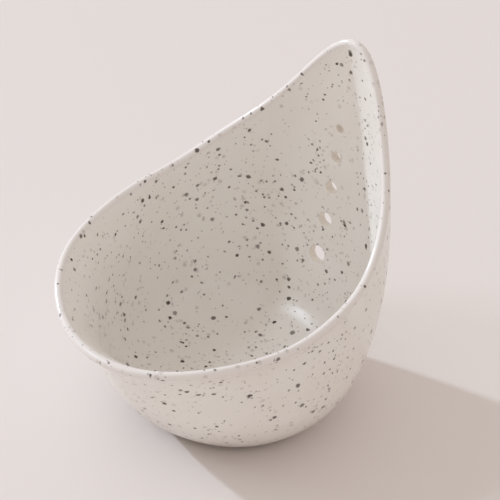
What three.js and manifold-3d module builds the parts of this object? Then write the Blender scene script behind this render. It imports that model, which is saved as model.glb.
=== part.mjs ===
// Herb stripping bowl: a stoneware casting with a tall pierced lip, and the glaze that is fused over it.
// Millimetres and degrees. X points from the low side to the lip, Z is up, and the foot stands on Z = 0.
import * as THREE from 'three';
import { mergeVertices } from 'three/addons/utils/BufferGeometryUtils.js';
import Module from 'manifold-3d';

const wasm = await Module();
wasm.setup();

// Wall and glaze
const wallThickness = 4;
const rimThickness = 3;
const glazeThickness = 0.5;
const glazeGap = 0.3; // clearance between the clay and the glaze
const glazeLine = 1.0; // the clay is bare below this height

// Foot and floor
const footRadius = 30.8;
const footEdgeBevel = 0.8;
const footRingWidth = 5.5;
const footRecess = 1.5;
const recessSlope = 1.2;
const floorHeight = 6;
const floorFlatRadius = 22; // the floor is close to level inside this radius
const floorBendLength = 10; // how far the wall runs on before it turns into the floor
const footShift = 8.85; // from the middle of the bowl's length to the middle of its foot

// Middle line of the wall, from the foot to the rim
const flareWidth = 21.3;
const flareHeight = 22;
const lipSwellWidth = 7.1; // the wall swells this far outside the rim below the lip
const lowSideFlareWidth = 15.3; // the rim stands this far outside the wall at the low side
const lipBendShare = 0.69; // the upper bend's height as a share of the rim's height, at the lip
const lowSideBendShare = 0.79; // the same at the low side
const fullWallShare = 0.25; // share of the wall over which its outside swells to full thickness
const floorShare = 0.22; // share of the wall at which its inside turns into the floor
const thinningShare = 0.6; // share of the wall above which it thins to the rim

// Rim, measured on the wall's middle line, from the lip round to the low side
const rimRadii = [46.5, 46, 45, 49, 60.5, 68.5]; // every 36 degrees
const rimHeights = [125.5, 107, 85.5, 72.5, 66.5, 63.5, 62, 59, 56.5]; // every 22.5 degrees
const lipTurn = -2; // the top of the lip lies this far round from X

// Holes, from the top of the column down
const holeDiameters = [3, 4.2, 4.8, 5.6, 6.6];
const topHoleHeight = 89.5;
const holeGap = 8.5; // height between the edges of neighbouring holes
const holeTurn = 2; // the column lies this far round from X
const cutterLength = 16;

// Facets
const turnSteps = 60;
const wallSteps = 12;
const rimSteps = 6;
const floorSteps = 5;
const holeSides = 24;

const radians = THREE.MathUtils.degToRad;

// Smooth mirrored curve through sizes given at even steps from 0 to 180 degrees.
function around(sizes, angle) {
  const last = sizes.length - 1;
  const share = (step) => (step === 0 || step === last ? 0.5 : 1);
  let total = 0;
  for (let wave = 0; wave <= last; wave += 1) {
    let strength = 0;
    sizes.forEach((size, step) => {
      strength += share(step) * size * Math.cos((Math.PI * wave * step) / last);
    });
    total += share(wave) * strength * Math.cos(wave * angle);
  }
  return (2 / last) * total;
}

// 1 at the lip, falling to 0 at the low side.
function nearLip(angle) {
  return (1 + Math.cos(angle)) / 2;
}

function rimHeight(angle) {
  return around(rimHeights, angle - radians(lipTurn) * nearLip(angle) ** 2);
}

// Middle line of the wall at one angle, as radius and height.
function wallLine(angle) {
  const radius = around(rimRadii, angle);
  const height = rimHeight(angle);
  const lean = THREE.MathUtils.lerp(-lowSideFlareWidth, lipSwellWidth, nearLip(angle));
  const bendShare = THREE.MathUtils.lerp(lowSideBendShare, lipBendShare, nearLip(angle));
  return new THREE.CubicBezierCurve(
    new THREE.Vector2(footRadius, 0),
    new THREE.Vector2(footRadius + flareWidth, flareHeight),
    new THREE.Vector2(radius + lean, bendShare * height),
    new THREE.Vector2(radius, height),
  );
}

// Half of the wall's thickness, even up to a share of the wall and then thinning to the rim.
function halfWall(share) {
  const thinning = THREE.MathUtils.smoothstep(share, thinningShare, 1);
  return THREE.MathUtils.lerp(wallThickness, rimThickness, thinning) / 2;
}

// A point of the wall moved outward from the middle line.
function besideWall(line, share, distance) {
  const along = line.getTangent(share);
  const outward = new THREE.Vector2(along.y, -along.x);
  return line.getPoint(share).addScaledVector(outward, distance);
}

// How much longer the rim's section is up and down where the rim line itself climbs.
function rimStretch(angle) {
  const step = radians(1);
  const climb = (rimHeight(angle + step) - rimHeight(angle - step)) / (2 * step);
  return Math.hypot(1, climb / around(rimRadii, angle));
}

// Underside of the bare clay, from the axis out to the foot ring's bevel.
function footUnderside(depth) {
  const ringInside = footRadius - footRingWidth;
  return [
    new THREE.Vector2(0, footRecess),
    new THREE.Vector2(ringInside - recessSlope, footRecess),
    new THREE.Vector2(ringInside, 0),
    new THREE.Vector2(footRadius - footEdgeBevel - depth, 0),
  ];
}

// Closed section of the bowl at one angle, from the axis under the foot to the axis on the floor.
// Every face but the underside lies a given depth below the glazed surface.
function section(angle, depth, underside) {
  const line = wallLine(angle);
  const points = [...underside];
  for (let step = 0; step < wallSteps; step += 1) {
    const share = step / wallSteps;
    const swell = THREE.MathUtils.smoothstep(share, 0, fullWallShare);
    points.push(besideWall(line, share, halfWall(share) * swell - depth));
  }
  const up = line.getTangent(1);
  const outward = new THREE.Vector2(up.y, -up.x);
  const thick = halfWall(1) - depth;
  for (let step = 0; step <= rimSteps; step += 1) {
    const turn = (Math.PI * step) / rimSteps;
    const point = line.getPoint(1).addScaledVector(outward, thick * Math.cos(turn));
    points.push(point.addScaledVector(up, thick * rimStretch(angle) * Math.sin(turn)));
  }
  for (let step = 1; step < wallSteps; step += 1) {
    const share = THREE.MathUtils.lerp(1, floorShare, step / wallSteps);
    points.push(besideWall(line, share, depth - halfWall(share)));
  }
  const wallEnd = besideWall(line, floorShare, depth - halfWall(floorShare));
  const floor = floorHeight - depth;
  const bend = new THREE.CubicBezierCurve(
    wallEnd,
    wallEnd.clone().addScaledVector(line.getTangent(floorShare), -floorBendLength),
    new THREE.Vector2(floorFlatRadius, floor),
    new THREE.Vector2(0, floor),
  );
  points.push(...bend.getPoints(floorSteps));
  return points;
}

// A closed solid from a geometry, with shared corners merged and empty triangles dropped.
function solid(geometry) {
  geometry.deleteAttribute('normal');
  geometry.deleteAttribute('uv');
  const merged = mergeVertices(geometry);
  const corners = merged.index.array;
  const triangles = [];
  for (let first = 0; first < corners.length; first += 3) {
    const [a, b, c] = corners.slice(first, first + 3);
    if (a !== b && b !== c && c !== a) triangles.push(a, b, c);
  }
  return new wasm.Manifold(
    new wasm.Mesh({
      numProp: 3,
      vertProperties: new Float32Array(merged.attributes.position.array),
      triVerts: new Uint32Array(triangles),
    }),
  );
}

// The bowl without its holes, a given depth below the glazed surface.
function bowl(depth, underside) {
  const outline = section(0, depth, underside);
  const geometry = new THREE.LatheGeometry(outline, turnSteps);
  const corners = geometry.attributes.position;
  for (let turn = 0; turn <= turnSteps; turn += 1) {
    const angle = (2 * Math.PI * turn) / turnSteps;
    section(angle, depth, underside).forEach((point, step) => {
      const corner = turn * outline.length + step;
      corners.setXYZ(corner, point.x * Math.cos(angle), point.x * Math.sin(angle), point.y);
    });
  }
  return solid(geometry);
}

// The share of the wall line at which it reaches a height.
function shareAtHeight(line, height) {
  let low = 0;
  let high = 1;
  for (let round = 0; round < 40; round += 1) {
    const middle = (low + high) / 2;
    if (line.getPoint(middle).y < height) low = middle;
    else high = middle;
  }
  return low;
}

// Heights of the holes' middles, with an equal gap between neighbouring edges.
function holeHeights() {
  let height = topHoleHeight;
  return holeDiameters.map((diameter, place) => {
    if (place > 0) height -= holeGap + (holeDiameters[place - 1] + diameter) / 2;
    return height;
  });
}

// Cutters for the holes, square to the wall, each wider than its hole by a given growth of radius.
function holeCutters(growth) {
  const angle = radians(holeTurn);
  const line = wallLine(angle);
  const heights = holeHeights();
  return holeDiameters.map((diameter, place) => {
    const share = shareAtHeight(line, heights[place]);
    const middle = line.getPoint(share);
    const along = line.getTangent(share);
    const axis = new THREE.Vector3(along.y * Math.cos(angle), along.y * Math.sin(angle), -along.x);
    const radius = diameter / 2 + growth;
    const geometry = new THREE.CylinderGeometry(radius, radius, cutterLength, holeSides);
    geometry.applyQuaternion(new THREE.Quaternion().setFromUnitVectors(THREE.Object3D.DEFAULT_UP, axis));
    geometry.translate(middle.x * Math.cos(angle), middle.x * Math.sin(angle), middle.y);
    return solid(geometry);
  });
}

function pierced(body, growth) {
  return holeCutters(growth).reduce((left, cutter) => left.subtract(cutter), body);
}

// A disc wide enough to take in the foot, up to the glaze line and as far below the table.
function belowGlazeLine() {
  const reach = footRadius + flareWidth;
  const geometry = new THREE.CylinderGeometry(reach, reach, 2 * glazeLine, turnSteps);
  geometry.rotateX(Math.PI / 2);
  return solid(geometry);
}

function mesh(name, body, color, roughness) {
  const { vertProperties, triVerts } = body.getMesh();
  const geometry = new THREE.BufferGeometry();
  geometry.setAttribute('position', new THREE.BufferAttribute(new Float32Array(vertProperties), 3));
  geometry.setIndex(new THREE.BufferAttribute(new Uint32Array(triVerts), 1));
  geometry.computeVertexNormals();
  const part = new THREE.Mesh(geometry, new THREE.MeshStandardMaterial({ color, roughness, metalness: 0 }));
  part.name = name;
  return part;
}

const clayDepth = glazeThickness + glazeGap;
const clay = pierced(bowl(clayDepth, footUnderside(clayDepth)), clayDepth);
const flatUnderside = [new THREE.Vector2(0, 0)];
const glazeBed = pierced(bowl(glazeThickness, flatUnderside), glazeThickness).add(belowGlazeLine());
const glaze = pierced(bowl(0, flatUnderside), 0).subtract(glazeBed);

const herbBowl = new THREE.Group();
herbBowl.add(mesh('stoneware_body', clay, 0xb9a388, 0.9));
herbBowl.add(mesh('glaze_coat', glaze, 0xe6e0da, 0.3));
herbBowl.position.x = footShift;

export default herbBowl;
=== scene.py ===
"""Looks of a herb stripping bowl: a speckled glaze over a stoneware casting, on a pale floor."""

import functools
import math

import bmesh
import bpy
from mathutils import Matrix, Quaternion, Vector


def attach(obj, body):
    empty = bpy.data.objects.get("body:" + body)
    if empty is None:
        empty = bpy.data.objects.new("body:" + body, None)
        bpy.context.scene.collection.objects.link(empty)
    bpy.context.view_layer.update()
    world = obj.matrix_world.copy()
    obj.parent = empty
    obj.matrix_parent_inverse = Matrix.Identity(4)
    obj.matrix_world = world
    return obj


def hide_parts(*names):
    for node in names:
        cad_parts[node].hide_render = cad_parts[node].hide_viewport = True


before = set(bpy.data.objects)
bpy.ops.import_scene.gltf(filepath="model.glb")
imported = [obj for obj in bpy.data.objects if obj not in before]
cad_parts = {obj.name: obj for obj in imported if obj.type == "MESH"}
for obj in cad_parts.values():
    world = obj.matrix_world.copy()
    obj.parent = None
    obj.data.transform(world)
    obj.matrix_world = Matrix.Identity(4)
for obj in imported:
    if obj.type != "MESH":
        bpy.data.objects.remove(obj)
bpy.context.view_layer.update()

MM = 0.001

# Wall and glaze
WALL_THICKNESS = 4 * MM
RIM_THICKNESS = 3 * MM
GLAZE_THICKNESS = 0.5 * MM
GLAZE_GAP = 0.3 * MM
GLAZE_LINE = 1.0 * MM
CLAY_DEPTH = GLAZE_THICKNESS + GLAZE_GAP

# Foot and floor of the bowl
FOOT_RADIUS = 30.8 * MM
FOOT_EDGE_BEVEL = 0.8 * MM
FOOT_RING_WIDTH = 5.5 * MM
FOOT_RECESS = 1.5 * MM
RECESS_SLOPE = 1.2 * MM
FLOOR_HEIGHT = 6 * MM
FLOOR_FLAT_RADIUS = 22 * MM
FLOOR_BEND_LENGTH = 10 * MM
FOOT_SHIFT = 8.85 * MM

# Middle line of the wall, from the foot to the rim
FLARE_WIDTH = 21.3 * MM
FLARE_HEIGHT = 22 * MM
LIP_SWELL_WIDTH = 7.1 * MM
LOW_SIDE_FLARE_WIDTH = 15.3 * MM
LIP_BEND_SHARE = 0.69
LOW_SIDE_BEND_SHARE = 0.79
FULL_WALL_SHARE = 0.25
THINNING_SHARE = 0.6
FLOOR_SHARE = 0.22

# Rim, on the wall's middle line, from the lip round to the low side
RIM_RADII = [radius * MM for radius in (46.5, 46, 45, 49, 60.5, 68.5)]
RIM_HEIGHTS = [height * MM for height in (125.5, 107, 85.5, 72.5, 66.5, 63.5, 62, 59, 56.5)]
LIP_TURN = math.radians(-2)

# Holes, from the top of the column down
HOLE_DIAMETERS = [diameter * MM for diameter in (3, 4.2, 4.8, 5.6, 6.6)]
TOP_HOLE_HEIGHT = 89.5 * MM
HOLE_GAP = 8.5 * MM
HOLE_TURN = math.radians(2)
HOLE_EDGE_RADIUS = 0.5 * MM
HOLE_EDGE_TURN = math.radians(72)
CUTTER_REACH = 6 * MM

# Fineness of the meshes
TURN_STEPS = 192
WALL_STEPS = 72
RIM_STEPS = 16
FLOOR_STEPS = 24
CLAY_TURN_STEPS = 128
CLAY_WALL_STEPS = 24
CLAY_RIM_STEPS = 8
CLAY_FLOOR_STEPS = 8
HOLE_SIDES = 48
HOLE_EDGE_STEPS = 6
MERGE_DISTANCE = 0.001 * MM
SLOPE_STEP = math.radians(1)  # the rim's climb is measured over this turn to either side
SEARCH_ROUNDS = 40  # halvings when a height is looked up on the wall line
ANGLE_DIGITS = 5  # points whose angles agree to this many digits share one wall line
GLAZE_SHARP_ANGLE = math.radians(50)
CLAY_SHARP_ANGLE = math.radians(35)

# Camera, for a square picture, with the lens and sensor in millimetres
CAMERA_HEADING = math.radians(50.9)
CAMERA_ELEVATION = math.radians(38)
CAMERA_ROLL = math.radians(5.9)
CAMERA_DISTANCE = 600 * MM
CAMERA_LENS = 120
SENSOR_WIDTH = 36
AIM_RIGHT = 7.7 * MM
AIM_UP = 49.05 * MM

# Point attributes of the glaze, each 1 where it is strongest: thin glaze and painted shade in the holes,
# thin glaze and painted shade that dims the highlight on the rim, and painted shade down the outside to
# the foot
HOLE_GLAZE_AND_SHADE = "hole_glaze_and_shade"
RIM_GLAZE_AND_SHADE = "rim_glaze_and_shade"
PAINTED_FOOT_SHADE = "painted_foot_shade"

# Specks of iron, each kind with these settings: the distance between places, the largest radius,
# the share of places taken, the soft share of the radius, and the strength of the colour
SPECK_SETTINGS = ("Spacing", "Largest", "Share", "Edge", "Strength")
BOLD_SPECKS = (3.4 * MM, 1.2 * MM, 0.46, 0.45, 1.0)
SMALL_SPECKS = (2.3 * MM, 0.7 * MM, 0.5, 0.5, 0.95)
FINE_SPECKS = (1.55 * MM, 0.43 * MM, 0.55, 0.6, 0.75)
SUNKEN_SPECKS = (2.8 * MM, 1.35 * MM, 0.6, 0.95, 0.36)
CLAY_SPECKS = (1.6 * MM, 0.22 * MM, 0.7, 0.6, 0.6)
SPECK_COLOR = (0.036, 0.017, 0.006)
SUNKEN_COLOR = (0.17, 0.105, 0.055)
SPECK_WOBBLE = 0.95 * MM
SPECK_WOBBLE_SIZE = 1.3 * MM
SMALLEST_SPECK = 0.4  # as a share of the largest radius
PALEST_SPECK = 0.65  # as a share of the strength
WOBBLE_DETAIL = 1
CLUSTER_SIZE = 14 * MM
CLUSTER_DETAIL = 1
CLUSTER_NOISE = (0.35, 0.65)
CLUSTER_CROWDING = (0.35, 1.3)  # between and inside the clusters
NOISE_MIDDLE = 0.5

# Finishes
GLAZE_COLOR = (0.868, 0.836, 0.792)
GLAZE_WARM_COLOR = (0.852, 0.813, 0.764)
CLOUD_SIZE = 24 * MM
CLOUD_DETAIL = 3
CLOUD_NOISE = (0.35, 0.65)
GLAZE_ROUGHNESS = (0.21, 0.25)
SPECK_ROUGHNESS = 0.2  # more than the glaze around it
SATIN_SIZE = 3.5 * MM
SATIN_DETAIL = 2
FINE_NOISE = (0.3, 0.7)
GLAZE_RIPPLE_SIZE = 14 * MM
GLAZE_RIPPLE_DETAIL = 0
GLAZE_RIPPLE_HEIGHT = 0.03 * MM
# Thin glaze in the holes, with painted shade for the hollow of each hole
HOLE_GLAZE_AND_SHADE_COLOR = (0.845, 0.79, 0.715)
# Thin glaze on the rim's crest, with painted shade that dims the rim's highlight
RIM_GLAZE_AND_SHADE_COLOR = (0.815, 0.768, 0.735)
RIM_FADE = 1.4 * MM
# Thin glaze at the glaze line, with painted contact shade just above the floor; the painted shade down
# the outside to the foot takes this colour too
FOOT_LINE_AND_SHADE_COLOR = (0.26, 0.2, 0.145)
FOOT_LINE_HEIGHT = 1.8 * MM
FOOT_LINE_FADE = 0.9 * MM
# Painted shade: the outside darkens towards the foot on faces that look downward
FOOT_SHADE_HEIGHT = 26 * MM
FOOT_SHADE_STRENGTH = 0.42
CLAY_COLOR = (0.52, 0.4, 0.275)
CLAY_DARK_COLOR = (0.4, 0.29, 0.19)
CLAY_GRAIN_SIZE = 0.35 * MM
CLAY_GRAIN_DETAIL = 4
CLAY_GRAIN_SHARE = 0.5
CLAY_GRAIN_HEIGHT = 0.06 * MM
CLAY_ROUGHNESS = (0.78, 0.92)

# Light, as the brightness of a white matt surface that faces it, with distances in metres
SUN_HEADING = math.radians(154)
SUN_ELEVATION = math.radians(22)
SUN_LIGHT = (0.425, 0.487, 0.548)
SUN_ANGLE = math.radians(2.5)
SUN_DISTANCE = 1.0
FILL_LIGHT = (0.695, 0.643, 0.611)
WINDOW_LIGHT = (0.098, 0.113, 0.133)
WINDOW_HEADING = math.radians(186)
WINDOW_ELEVATION = math.radians(45)
WINDOW_DISTANCE = 1.5
WINDOW_WIDTH = 0.08
WINDOW_HEIGHT = 0.5
WINDOW_ROLL = math.radians(36)
FLOOR_COLOR = (0.832, 0.776, 0.75)
FLOOR_ROUGHNESS = 0.9
FLOOR_SIDE = 6.0

# Colour sockets of the Mix node, which has a set of sockets for each type of data
MIX_COLORS = slice(6, 8)
MIX_RESULT = 2

HALF_WALL = WALL_THICKNESS / 2
HALF_RIM = RIM_THICKNESS / 2


def around(sizes, angle):
    """A smooth mirrored curve through sizes given at even steps from 0 to 180 degrees."""
    last = len(sizes) - 1
    total = 0.0
    for wave in range(last + 1):
        strength = 0.0
        for step, size in enumerate(sizes):
            share = 0.5 if step in (0, last) else 1.0
            strength += share * size * math.cos(math.pi * wave * step / last)
        share = 0.5 if wave in (0, last) else 1.0
        total += share * strength * math.cos(wave * angle)
    return 2 / last * total


def near_lip(angle):
    """1 at the lip, falling to 0 at the low side."""
    return (1 + math.cos(angle)) / 2


def rim_height(angle):
    return around(RIM_HEIGHTS, angle - LIP_TURN * near_lip(angle) ** 2)


@functools.lru_cache(maxsize=None)
def wall_line(angle):
    """Four control points of the wall's middle line at one angle, as radius and height."""
    radius = around(RIM_RADII, angle)
    height = rim_height(angle)
    share = near_lip(angle)
    lean = LIP_SWELL_WIDTH * share - LOW_SIDE_FLARE_WIDTH * (1 - share)
    bend_share = LIP_BEND_SHARE * share + LOW_SIDE_BEND_SHARE * (1 - share)
    return (
        Vector((FOOT_RADIUS, 0)),
        Vector((FOOT_RADIUS + FLARE_WIDTH, FLARE_HEIGHT)),
        Vector((radius + lean, bend_share * height)),
        Vector((radius, height)),
    )


def along_curve(line, share):
    """The point and the unit direction of a cubic curve at a share of its course."""
    a, b, c, d = line
    rest = 1 - share
    point = rest**3 * a + 3 * rest**2 * share * b + 3 * rest * share**2 * c + share**3 * d
    way = rest**2 * (b - a) + 2 * rest * share * (c - b) + share**2 * (d - c)
    return point, way.normalized()


def beside_wall(line, share, distance):
    """A point of the wall, moved outward from the middle line."""
    point, way = along_curve(line, share)
    return point + distance * Vector((way.y, -way.x))


@functools.lru_cache(maxsize=None)
def rim_stretch(angle):
    """How much longer the rim's section is up and down where the rim line itself climbs."""
    climb = (rim_height(angle + SLOPE_STEP) - rim_height(angle - SLOPE_STEP)) / (2 * SLOPE_STEP)
    return math.hypot(1, climb / around(RIM_RADII, angle))


def smooth_step(share, end):
    """A smooth rise from 0 at 0 to 1 at the end."""
    share = min(share / end, 1)
    return share * share * (3 - 2 * share)


def half_wall(share):
    """Half of the wall's thickness, which is even up to a share of the wall and then thins to the rim."""
    thinning = smooth_step(max(share - THINNING_SHARE, 0), 1 - THINNING_SHARE)
    return HALF_WALL + (HALF_RIM - HALF_WALL) * thinning


def outer_wall(angle, share, depth):
    """The outside, from the foot at share 0 to the rim at share 1."""
    swell = smooth_step(share, FULL_WALL_SHARE)
    return beside_wall(wall_line(angle), share, half_wall(share) * swell - depth)


def rim(angle, share, depth):
    """The rounded rim, from its outer edge at share 0 to its inner edge at share 1."""
    point, way = along_curve(wall_line(angle), 1)
    turn = math.pi * share
    thick = HALF_RIM - depth
    outward = Vector((way.y, -way.x))
    return point + thick * (math.cos(turn) * outward + rim_stretch(angle) * math.sin(turn) * way)


def inner_wall(angle, share, depth):
    """The inside, from the rim at share 0 to the bend of the floor at share 1."""
    along = 1 - share * (1 - FLOOR_SHARE)
    return beside_wall(wall_line(angle), along, depth - half_wall(along))


def bowl_floor(angle, share, depth):
    """The bend below the inside wall at share 0, and the floor to its middle at share 1."""
    line = wall_line(angle)
    start = beside_wall(line, FLOOR_SHARE, depth - half_wall(FLOOR_SHARE))
    way = along_curve(line, FLOOR_SHARE)[1]
    level = FLOOR_HEIGHT - depth
    bend = (
        start,
        start - FLOOR_BEND_LENGTH * way,
        Vector((FLOOR_FLAT_RADIUS, level)),
        Vector((0, level)),
    )
    return along_curve(bend, share)[0]


def fixed_ring(radius, height):
    """A ring of one radius and height all round."""
    return lambda angle, share, depth: Vector((radius, height))


def stations(wall_steps, rim_steps, floor_steps, underside):
    """The rings of the bowl's section in order, each as its function and its share."""
    rings = [(ring, 0) for ring in underside]
    rings += [(outer_wall, step / wall_steps) for step in range(wall_steps)]
    rings += [(rim, step / rim_steps) for step in range(rim_steps + 1)]
    rings += [(inner_wall, step / wall_steps) for step in range(1, wall_steps)]
    rings += [(bowl_floor, step / floor_steps) for step in range(floor_steps + 1)]
    return rings


def turned_bowl(rings, depth, turn_steps):
    """The bowl at a depth under the glazed face: a spun tube whose points are moved to their sections."""
    shape = bmesh.new()
    profile = [shape.verts.new((1, 0, ring)) for ring in range(len(rings))]
    for lower, upper in zip(profile, profile[1:]):
        shape.edges.new((lower, upper))
    bmesh.ops.spin(
        shape, geom=shape.verts[:] + shape.edges[:], cent=(0, 0, 0), axis=(0, 0, 1),
        angle=2 * math.pi, steps=turn_steps, use_merge=True,
    )
    for point in shape.verts:
        turn = round(math.atan2(point.co.y, point.co.x) / (2 * math.pi) * turn_steps)
        angle = 2 * math.pi * turn / turn_steps
        section, share = rings[round(point.co.z)]
        radius, height = section(angle, share, depth)
        point.co = (FOOT_SHIFT + radius * math.cos(angle), radius * math.sin(angle), height)
    bmesh.ops.remove_doubles(shape, verts=shape.verts, dist=MERGE_DISTANCE)
    bmesh.ops.recalc_face_normals(shape, faces=shape.faces)
    return shape


def finished_object(name, shape):
    mesh = bpy.data.meshes.new(name)
    shape.to_mesh(mesh)
    shape.free()
    piece = bpy.data.objects.new(name, mesh)
    bpy.context.scene.collection.objects.link(piece)
    return piece


def share_at_height(line, height):
    """The share of the wall line at which it reaches a height."""
    low = 0.0
    high = 1.0
    for _ in range(SEARCH_ROUNDS):
        middle = (low + high) / 2
        if along_curve(line, middle)[0].y < height:
            low = middle
        else:
            high = middle
    return low


def hole_places():
    """For each hole, its radius and the matrix that stands Z along its axis at the wall's middle."""
    line = wall_line(HOLE_TURN)
    across = Vector((math.cos(HOLE_TURN), math.sin(HOLE_TURN), 0))
    places = []
    height = TOP_HOLE_HEIGHT
    above = None
    for diameter in HOLE_DIAMETERS:
        if above:
            height -= HOLE_GAP + (above + diameter) / 2
        above = diameter
        point, way = along_curve(line, share_at_height(line, height))
        axis = way.y * across - way.x * Vector((0, 0, 1))
        centre = point.x * across + Vector((FOOT_SHIFT, 0, point.y))
        stand = axis.to_track_quat("Z", "Y").to_matrix().to_4x4()
        places.append((diameter / 2, Matrix.Translation(centre) @ stand))
    return places


def soft_hole_profile(radius):
    """Section of a hole's cutter, from its end inside the bowl to its end outside, for rounded edges."""
    straight = HALF_WALL - HOLE_EDGE_RADIUS
    half = [(radius, 0), (radius, straight)]
    for step in range(1, HOLE_EDGE_STEPS + 1):
        turn = HOLE_EDGE_TURN * step / HOLE_EDGE_STEPS
        half.append((
            radius + HOLE_EDGE_RADIUS * (1 - math.cos(turn)),
            straight + HOLE_EDGE_RADIUS * math.sin(turn),
        ))
    wide, height = half[-1]
    rise = HOLE_EDGE_RADIUS
    half.append((wide + rise * math.tan(HOLE_EDGE_TURN), height + rise))
    half.append((half[-1][0], CUTTER_REACH))
    half.append((0, CUTTER_REACH))
    return [(r, -z) for r, z in reversed(half[1:])] + half


def soft_hole_cutters():
    """Spun cutters whose ends open out like a bell, so that the holes get rounded edges."""
    cutters = bmesh.new()
    for radius, place in hole_places():
        profile = [cutters.verts.new((r, 0, z)) for r, z in soft_hole_profile(radius)]
        edges = [cutters.edges.new(pair) for pair in zip(profile, profile[1:])]
        bmesh.ops.spin(
            cutters, geom=profile + edges, cent=(0, 0, 0), axis=(0, 0, 1),
            angle=2 * math.pi, steps=HOLE_SIDES, use_merge=True,
        )
        fresh = [point for point in cutters.verts if not point.tag]
        bmesh.ops.transform(cutters, matrix=place, verts=fresh)
        for point in fresh:
            point.tag = True
    bmesh.ops.remove_doubles(cutters, verts=cutters.verts, dist=MERGE_DISTANCE)
    bmesh.ops.recalc_face_normals(cutters, faces=cutters.faces)
    return finished_object("hole_cutters", cutters)


def plain_hole_cutters(growth):
    """Straight cutters, each wider than its hole by a growth of radius."""
    cutters = bmesh.new()
    for radius, place in hole_places():
        bmesh.ops.create_cone(
            cutters, cap_ends=True, segments=HOLE_SIDES, radius1=radius + growth,
            radius2=radius + growth, depth=2 * CUTTER_REACH, matrix=place,
        )
    return finished_object("hole_cutters", cutters)


def cut_holes(piece, cutters):
    """Takes the cutters out of a piece and removes them."""
    modifier = piece.modifiers.new("holes", "BOOLEAN")
    modifier.operation = "DIFFERENCE"
    modifier.solver = "EXACT"
    modifier.object = cutters
    depsgraph = bpy.context.evaluated_depsgraph_get()
    result = bpy.data.meshes.new_from_object(piece.evaluated_get(depsgraph))
    result.name = piece.name
    piece.modifiers.clear()
    piece.data = result
    bpy.data.objects.remove(cutters)


def shade(piece, sharp_angle):
    piece.data.shade_smooth()
    piece.data.set_sharp_from_angle(angle=sharp_angle)


def mark_hole_glaze_and_shade(mesh):
    """An attribute that is 1 on the walls of the holes, for thin glaze and painted shade there, and 0
    elsewhere.
    """
    thin = mesh.attributes.new(HOLE_GLAZE_AND_SHADE, "FLOAT", "POINT")
    holes = [(radius, place.inverted()) for radius, place in hole_places()]
    for number, point in enumerate(mesh.vertices):
        for radius, into_hole in holes:
            place = into_hole @ point.co
            beyond = math.hypot(place.x, place.y) - radius
            if abs(place.z) < CUTTER_REACH and beyond < HOLE_EDGE_RADIUS:
                thin.data[number].value = 1 - smooth_step(max(beyond, 0), HOLE_EDGE_RADIUS)


def mark_rim_glaze_and_shade(mesh):
    """An attribute that rises to 1 along the crest of the rim, for thin glaze and painted shade that dims
    its highlight.
    """
    thin = mesh.attributes.new(RIM_GLAZE_AND_SHADE, "FLOAT", "POINT")
    for number, point in enumerate(mesh.vertices):
        x, y, height = point.co
        radius = math.hypot(x - FOOT_SHIFT, y)
        angle = round(math.atan2(y, x - FOOT_SHIFT), ANGLE_DIGITS)
        middle, way = along_curve(wall_line(angle), 1)
        above = (Vector((radius, height)) - middle).dot(way)
        thin.data[number].value = smooth_step(max(above + RIM_FADE, 0), RIM_FADE)


def mark_painted_foot_shade(mesh):
    """An attribute of painted shade that rises to 1 down the outside to the foot, on faces that look
    downward.
    """
    thin = mesh.attributes.new(PAINTED_FOOT_SHADE, "FLOAT", "POINT")
    for number, point in enumerate(mesh.vertices):
        if point.normal.z < 0:
            above = max(point.co.z - FOOT_LINE_HEIGHT, 0)
            thin.data[number].value = 1 - smooth_step(above, FOOT_SHADE_HEIGHT)


def make_glaze():
    """The glazed surface, open below the glaze line, with its thickness added inward."""
    flat_base = [fixed_ring(0, 0)]
    rings = stations(WALL_STEPS, RIM_STEPS, FLOOR_STEPS, flat_base)
    glaze = finished_object("speckled_glaze", turned_bowl(rings, 0, TURN_STEPS))
    cut_holes(glaze, soft_hole_cutters())
    skin = bmesh.new()
    skin.from_mesh(glaze.data)
    bmesh.ops.bisect_plane(
        skin, geom=skin.verts[:] + skin.edges[:] + skin.faces[:], dist=MERGE_DISTANCE,
        plane_co=(0, 0, GLAZE_LINE), plane_no=(0, 0, 1), clear_inner=True,
    )
    skin.to_mesh(glaze.data)
    skin.free()
    mark_hole_glaze_and_shade(glaze.data)
    mark_rim_glaze_and_shade(glaze.data)
    mark_painted_foot_shade(glaze.data)
    wall = glaze.modifiers.new("glaze_thickness", "SOLIDIFY")
    wall.thickness = GLAZE_THICKNESS
    wall.offset = -1
    shade(glaze, GLAZE_SHARP_ANGLE)
    return glaze


def make_clay():
    """The casting under the glaze, with a recess inside its bare foot ring."""
    ring_inside = FOOT_RADIUS - FOOT_RING_WIDTH
    underside = [
        fixed_ring(0, FOOT_RECESS),
        fixed_ring(ring_inside - RECESS_SLOPE, FOOT_RECESS),
        fixed_ring(ring_inside, 0),
        fixed_ring(FOOT_RADIUS - FOOT_EDGE_BEVEL - CLAY_DEPTH, 0),
    ]
    rings = stations(CLAY_WALL_STEPS, CLAY_RIM_STEPS, CLAY_FLOOR_STEPS, underside)
    clay = finished_object("stoneware_casting", turned_bowl(rings, CLAY_DEPTH, CLAY_TURN_STEPS))
    cut_holes(clay, plain_hole_cutters(CLAY_DEPTH))
    shade(clay, CLAY_SHARP_ANGLE)
    return clay


def feed(tree, socket, value):
    """Links a socket to another, or sets it to a plain value."""
    if isinstance(value, bpy.types.NodeSocket):
        tree.links.new(value, socket)
    else:
        socket.default_value = value


def add_node(tree, kind, settings=(), **inputs):
    """A node with its settings and with its inputs fed by name, where _ in a name stands for a space."""
    node = tree.nodes.new(kind)
    for name, value in dict(settings).items():
        setattr(node, name, value)
    for name, value in inputs.items():
        feed(tree, node.inputs[name.replace("_", " ")], value)
    return node


def calculate(tree, operation, *values):
    node = add_node(tree, "ShaderNodeMath", {"operation": operation})
    for socket, value in zip(node.inputs, values):
        feed(tree, socket, value)
    return node.outputs["Value"]


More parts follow.
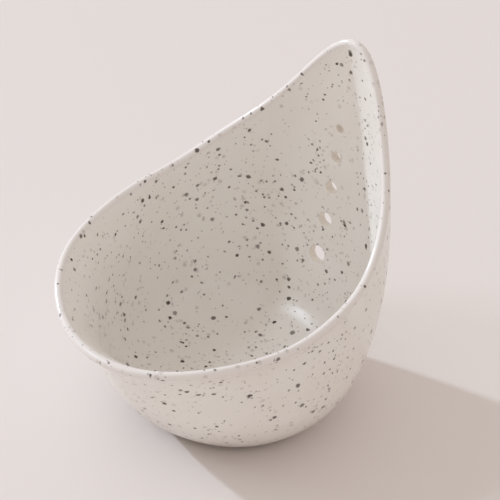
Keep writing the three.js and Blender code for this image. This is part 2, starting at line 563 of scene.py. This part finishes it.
def noise(tree, place, size, detail):
    """Cloudy noise from 0 to 1 whose blotches have about a given size."""
    return add_node(tree, "ShaderNodeTexNoise", Vector=place, Scale=1 / size, Detail=detail)


def ramp(tree, value, start, end, low, high):
    """A smooth change from low to high as a value goes from start to end."""
    node = add_node(
        tree, "ShaderNodeMapRange", {"interpolation_type": "SMOOTHSTEP"},
        Value=value, From_Min=start, From_Max=end, To_Min=low, To_Max=high,
    )
    return node.outputs["Result"]


def blend(tree, share, first, second):
    """A colour that goes from the first to the second as the share goes from 0 to 1."""
    node = add_node(tree, "ShaderNodeMix", {"data_type": "RGBA"})
    feed(tree, node.inputs["Factor"], share)
    for socket, color in zip(node.inputs[MIX_COLORS], (first, second)):
        feed(tree, socket, color if isinstance(color, bpy.types.NodeSocket) else (*color, 1))
    return node.outputs[MIX_RESULT]


def iron_specks_group():
    """Scattered specks: each cell of a random pattern may hold one, of its own size and tone."""
    group = bpy.data.node_groups.new("iron_specks", "ShaderNodeTree")
    group.interface.new_socket("Place", in_out="INPUT", socket_type="NodeSocketVector")
    for name in SPECK_SETTINGS:
        group.interface.new_socket(name, in_out="INPUT", socket_type="NodeSocketFloat")
    group.interface.new_socket("Mask", in_out="OUTPUT", socket_type="NodeSocketFloat")
    given = group.nodes.new("NodeGroupInput").outputs

    wobble = noise(group, given["Place"], SPECK_WOBBLE_SIZE, WOBBLE_DETAIL)
    centred = add_node(group, "ShaderNodeVectorMath", {"operation": "SUBTRACT"})
    feed(group, centred.inputs[0], wobble.outputs["Color"])
    centred.inputs[1].default_value = (NOISE_MIDDLE, NOISE_MIDDLE, NOISE_MIDDLE)
    moved = add_node(group, "ShaderNodeVectorMath", {"operation": "MULTIPLY_ADD"})
    feed(group, moved.inputs[0], centred.outputs["Vector"])
    moved.inputs[1].default_value = (SPECK_WOBBLE, SPECK_WOBBLE, SPECK_WOBBLE)
    feed(group, moved.inputs[2], given["Place"])

    cells = add_node(
        group, "ShaderNodeTexVoronoi", Vector=moved.outputs["Vector"],
        Scale=calculate(group, "DIVIDE", 1, given["Spacing"]),
    )
    chance = add_node(group, "ShaderNodeSeparateColor", Color=cells.outputs["Color"]).outputs
    distance = calculate(group, "MULTIPLY", cells.outputs["Distance"], given["Spacing"])
    spread = calculate(group, "MULTIPLY_ADD", chance["Green"], 1 - SMALLEST_SPECK, SMALLEST_SPECK)
    radius = calculate(group, "MULTIPLY", given["Largest"], spread)
    core = calculate(group, "MULTIPLY", radius, calculate(group, "SUBTRACT", 1, given["Edge"]))
    spot = ramp(group, distance, core, radius, 1, 0)

    clusters = noise(group, given["Place"], CLUSTER_SIZE, CLUSTER_DETAIL).outputs["Fac"]
    crowding = ramp(group, clusters, *CLUSTER_NOISE, *CLUSTER_CROWDING)
    likely = calculate(group, "MULTIPLY", given["Share"], crowding)
    taken = calculate(group, "LESS_THAN", chance["Red"], likely)
    tone = calculate(group, "MULTIPLY_ADD", chance["Blue"], 1 - PALEST_SPECK, PALEST_SPECK)
    shown = calculate(group, "MULTIPLY", calculate(group, "MULTIPLY", spot, taken), tone)
    mask = calculate(group, "MULTIPLY", shown, given["Strength"])
    end = group.nodes.new("NodeGroupOutput")
    feed(group, end.inputs["Mask"], mask)
    return group


def specks(tree, group, place, settings):
    """The mask of one kind of speck in a material."""
    node = add_node(tree, "ShaderNodeGroup", {"node_tree": group}, Place=place)
    for name, value in zip(SPECK_SETTINGS, settings):
        node.inputs[name].default_value = value
    return node.outputs["Mask"]


def new_material(name):
    """A material with its node tree and its shader."""
    material = bpy.data.materials.new(name)
    material.use_nodes = True
    return material, material.node_tree, material.node_tree.nodes["Principled BSDF"]


def attribute(tree, name):
    return add_node(tree, "ShaderNodeAttribute", {"attribute_name": name}).outputs["Fac"]


def glaze_material(group):
    """Satin off-white glaze with iron specks, thin and warm on the rim and in the holes, with painted
    shade there and down the outside to the foot.
    """
    material, tree, shader = new_material("speckled_glaze")
    place = add_node(tree, "ShaderNodeTexCoord").outputs["Object"]
    kinds = (BOLD_SPECKS, SMALL_SPECKS, FINE_SPECKS)
    masks = [specks(tree, group, place, kind) for kind in kinds]
    dark = functools.reduce(lambda one, two: calculate(tree, "MAXIMUM", one, two), masks)
    sunken = specks(tree, group, place, SUNKEN_SPECKS)

    clouds = noise(tree, place, CLOUD_SIZE, CLOUD_DETAIL).outputs["Fac"]
    color = blend(tree, ramp(tree, clouds, *CLOUD_NOISE, 0, 1), GLAZE_COLOR, GLAZE_WARM_COLOR)
    # Thin glaze and painted shade that dims the highlight along the rim
    color = blend(tree, attribute(tree, RIM_GLAZE_AND_SHADE), color, RIM_GLAZE_AND_SHADE_COLOR)
    color = blend(tree, sunken, color, SUNKEN_COLOR)
    color = blend(tree, dark, color, SPECK_COLOR)
    # Thin glaze and painted shade on the walls of the holes
    color = blend(tree, attribute(tree, HOLE_GLAZE_AND_SHADE), color, HOLE_GLAZE_AND_SHADE_COLOR)
    height = add_node(tree, "ShaderNodeSeparateXYZ", Vector=place).outputs["Z"]
    # Thin glaze at the glaze line, with painted contact shade just above the floor
    line = ramp(tree, height, FOOT_LINE_HEIGHT, FOOT_LINE_HEIGHT + FOOT_LINE_FADE, 1, 0)
    # Painted shade: darker down the outside towards the foot, on faces that look downward
    shade_near_foot = calculate(tree, "MULTIPLY", attribute(tree, PAINTED_FOOT_SHADE), FOOT_SHADE_STRENGTH)
    low = calculate(tree, "MAXIMUM", shade_near_foot, line)
    feed(tree, shader.inputs["Base Color"], blend(tree, low, color, FOOT_LINE_AND_SHADE_COLOR))

    fine = noise(tree, place, SATIN_SIZE, SATIN_DETAIL).outputs["Fac"]
    satin = ramp(tree, fine, *FINE_NOISE, *GLAZE_ROUGHNESS)
    rough = calculate(tree, "MULTIPLY_ADD", dark, SPECK_ROUGHNESS, satin)
    feed(tree, shader.inputs["Roughness"], rough)
    ripple = noise(tree, place, GLAZE_RIPPLE_SIZE, GLAZE_RIPPLE_DETAIL).outputs["Fac"]
    bump = add_node(tree, "ShaderNodeBump", Height=ripple, Distance=GLAZE_RIPPLE_HEIGHT)
    feed(tree, shader.inputs["Normal"], bump.outputs["Normal"])
    return material


def clay_material(group):
    """Bare fired clay: buff, grainy and matt, with the iron that marks the glaze."""
    material, tree, shader = new_material("bare_stoneware")
    place = add_node(tree, "ShaderNodeTexCoord").outputs["Object"]
    grain = noise(tree, place, CLAY_GRAIN_SIZE, CLAY_GRAIN_DETAIL).outputs["Fac"]
    clouds = noise(tree, place, CLOUD_SIZE, CLOUD_DETAIL).outputs["Fac"]
    cloud_part = calculate(tree, "MULTIPLY", clouds, 1 - CLAY_GRAIN_SHARE)
    mixed = calculate(tree, "MULTIPLY_ADD", grain, CLAY_GRAIN_SHARE, cloud_part)
    color = blend(tree, ramp(tree, mixed, *CLOUD_NOISE, 0, 1), CLAY_COLOR, CLAY_DARK_COLOR)
    iron = specks(tree, group, place, CLAY_SPECKS)
    feed(tree, shader.inputs["Base Color"], blend(tree, iron, color, SPECK_COLOR))
    feed(tree, shader.inputs["Roughness"], ramp(tree, grain, *FINE_NOISE, *CLAY_ROUGHNESS))
    bump = add_node(tree, "ShaderNodeBump", Height=grain, Distance=CLAY_GRAIN_HEIGHT)
    feed(tree, shader.inputs["Normal"], bump.outputs["Normal"])
    return material


def floor_material():
    material, _, shader = new_material("pale_floor")
    shader.inputs["Base Color"].default_value = (*FLOOR_COLOR, 1)
    shader.inputs["Roughness"].default_value = FLOOR_ROUGHNESS
    return material


def make_stage():
    shape = bmesh.new()
    bmesh.ops.create_grid(shape, x_segments=1, y_segments=1, size=FLOOR_SIDE / 2)
    ground = finished_object("studio_floor", shape)
    ground.data.materials.append(floor_material())


def add_lamp(light, heading, elevation, distance, roll=0):
    """A lamp that shines at the foot. Its heading runs from the camera's right round by the far side."""
    lamp = bpy.data.objects.new(light.name, light)
    level = Vector((math.cos(heading), math.sin(heading), 0)) * math.cos(elevation)
    upward = Vector((0, 0, math.sin(elevation)))
    toward_lamp = Matrix.Rotation(-CAMERA_HEADING, 3, "Z") @ (level + upward)
    lamp.location = Vector((FOOT_SHIFT, 0, 0)) + distance * toward_lamp
    turn = toward_lamp.to_track_quat("Z", "Y") @ Quaternion((0, 0, 1), roll)
    lamp.rotation_euler = turn.to_euler()
    bpy.context.scene.collection.objects.link(lamp)


def tint(light, brightness):
    """Gives a lamp the colour of a brightness, and returns the strongest part of it."""
    strongest = max(brightness)
    light.color = [part / strongest for part in brightness]
    return strongest


def make_lights():
    world = bpy.data.worlds.new("studio_fill")
    world.use_nodes = True
    background = world.node_tree.nodes["Background"]
    background.inputs["Color"].default_value = (*FILL_LIGHT, 1)
    bpy.context.scene.world = world
    sun = bpy.data.lights.new("window_sun", "SUN")
    sun.energy = math.pi * tint(sun, SUN_LIGHT)
    sun.angle = SUN_ANGLE
    add_lamp(sun, SUN_HEADING, SUN_ELEVATION, SUN_DISTANCE)
    window = bpy.data.lights.new("soft_window", "AREA")
    window.energy = (math.pi * WINDOW_DISTANCE) ** 2 * tint(window, WINDOW_LIGHT)
    window.shape = "RECTANGLE"
    window.size = WINDOW_WIDTH
    window.size_y = WINDOW_HEIGHT
    add_lamp(window, WINDOW_HEADING, WINDOW_ELEVATION, WINDOW_DISTANCE, WINDOW_ROLL)


def make_camera():
    camera = bpy.data.cameras.new("camera")
    camera.lens = CAMERA_LENS
    camera.sensor_width = SENSOR_WIDTH
    view = bpy.data.objects.new("camera", camera)
    turn = (
        Matrix.Rotation(-CAMERA_HEADING, 4, "Z")
        @ Matrix.Rotation(math.pi / 2 - CAMERA_ELEVATION, 4, "X")
        @ Matrix.Rotation(CAMERA_ROLL, 4, "Z")
    )
    foot = Matrix.Translation((FOOT_SHIFT, 0, 0))
    back = Matrix.Translation((AIM_RIGHT, AIM_UP, CAMERA_DISTANCE))
    view.matrix_world = foot @ turn @ back
    bpy.context.scene.collection.objects.link(view)
    bpy.context.scene.camera = view


bpy.context.scene.view_settings.view_transform = "Standard"
make_camera()
make_lights()
make_stage()

speck_group = iron_specks_group()
glaze = make_glaze()
glaze.data.materials.append(glaze_material(speck_group))
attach(glaze, "root")
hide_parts("glaze_coat")

clay = make_clay()
clay.data.materials.append(clay_material(speck_group))
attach(clay, "root")
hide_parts("stoneware_body")
